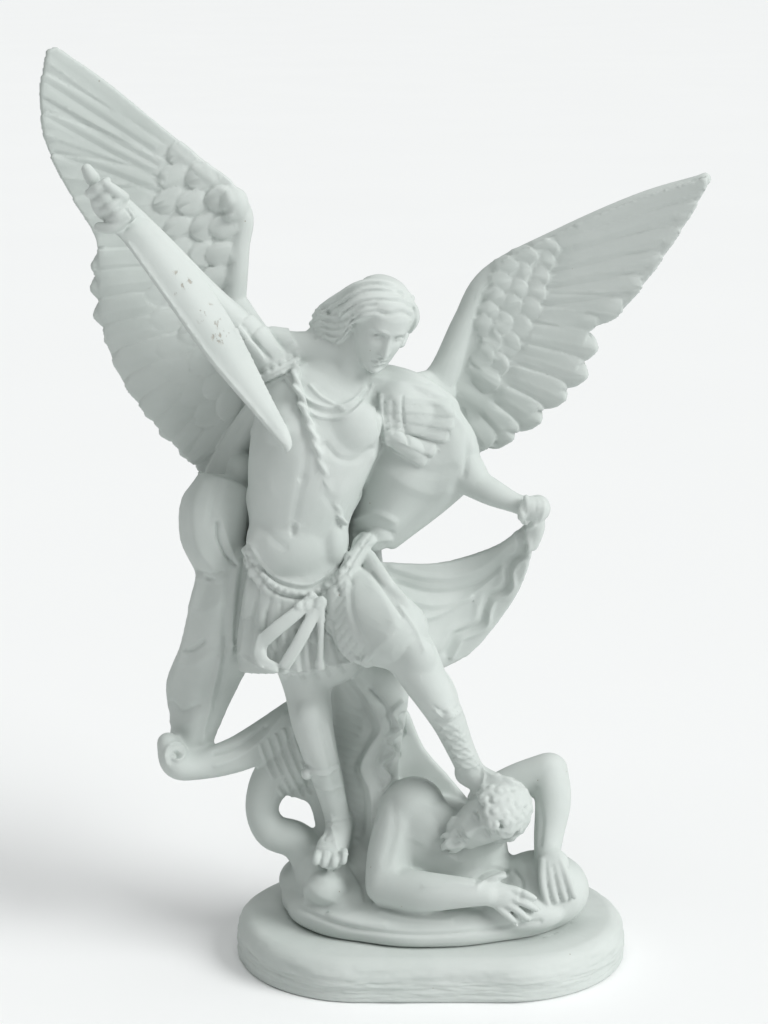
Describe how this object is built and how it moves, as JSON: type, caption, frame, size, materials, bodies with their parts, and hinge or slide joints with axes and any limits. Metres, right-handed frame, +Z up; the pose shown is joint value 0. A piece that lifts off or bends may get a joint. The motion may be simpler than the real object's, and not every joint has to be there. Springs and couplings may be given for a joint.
{
  "type": "archangel statue",
  "caption": "White plaster statue of a winged archangel with a raised sword and a blown cloak, treading a fallen demon, on a round-ended plinth.",
  "frame": {"origin": "centre of the plinth's flat underside", "axes": "+Z up, -Y towards the statue's front, +X towards the figure's left hand"},
  "size_m": [0.2825, 0.114, 0.3996],
  "materials": {
    "plaster_cast": "bare white casting plaster, matte",
    "plaster_plinth": "bare white casting plaster, rubbed down by hand"
  },
  "bodies": {
    "root": {"figure_group": "plaster_cast", "plinth": "plaster_plinth"}
  },
  "joints": []
}
